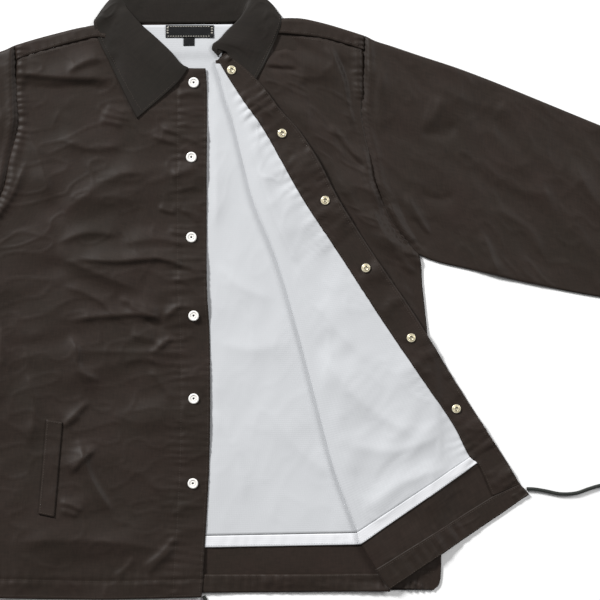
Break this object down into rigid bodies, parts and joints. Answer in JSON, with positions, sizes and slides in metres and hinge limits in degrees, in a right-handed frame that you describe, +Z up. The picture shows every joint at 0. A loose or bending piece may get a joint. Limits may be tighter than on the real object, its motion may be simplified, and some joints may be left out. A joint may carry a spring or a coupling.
{
  "type": "coach jacket",
  "caption": "Snap-front coach jacket in dark brown nylon, laid flat with its left front folded open on a pale lining.",
  "frame": {"origin": "middle of the garment's footprint on the surface it lies on, drawcord ends left out", "axes": "+X to the viewer's right (the wearer's left) along the spread sleeves, +Y from hem to collar, +Z up off the surface"},
  "size_m": [1.5962, 0.8943, 0.0125],
  "materials": {
    "shell": "dark brown nylon taffeta, soft satin sheen",
    "collar": "dark brown nylon taffeta, interlined, duller",
    "lining": "light grey brushed knit, matt",
    "lining_hem": "white turned lining hem, matt",
    "label": "black woven damask label, plain",
    "stud": "white enamelled snap cap",
    "socket": "pale plated snap socket",
    "cord": "dark braided polyester drawcord"
  },
  "bodies": {
    "root": {"front_right": "shell", "front_left": "shell", "back": "shell", "yoke_left": "shell", "yoke_right": "shell", "sleeve_left": "shell", "sleeve_right": "shell", "cuff_left": "shell", "cuff_right": "shell", "facing_left": "shell", "front_hem_channel": "shell", "back_hem_channel": "shell", "pocket_welt_right": "shell", "collar": "collar", "back_lining": "lining", "front_lining": "lining", "back_lining_hem": "lining_hem", "front_lining_hem": "lining_hem", "neck_label": "label", "size_tag": "label", "stud_1": "stud", "stud_2": "stud", "stud_3": "stud", "stud_4": "stud", "stud_5": "stud", "stud_6": "stud", "socket_1": "socket", "socket_2": "socket", "socket_3": "socket", "socket_4": "socket", "socket_5": "socket", "socket_6": "socket", "drawcord_left": "cord", "drawcord_knot_left": "cord", "drawcord_right": "cord", "drawcord_knot_right": "cord"}
  },
  "joints": []
}
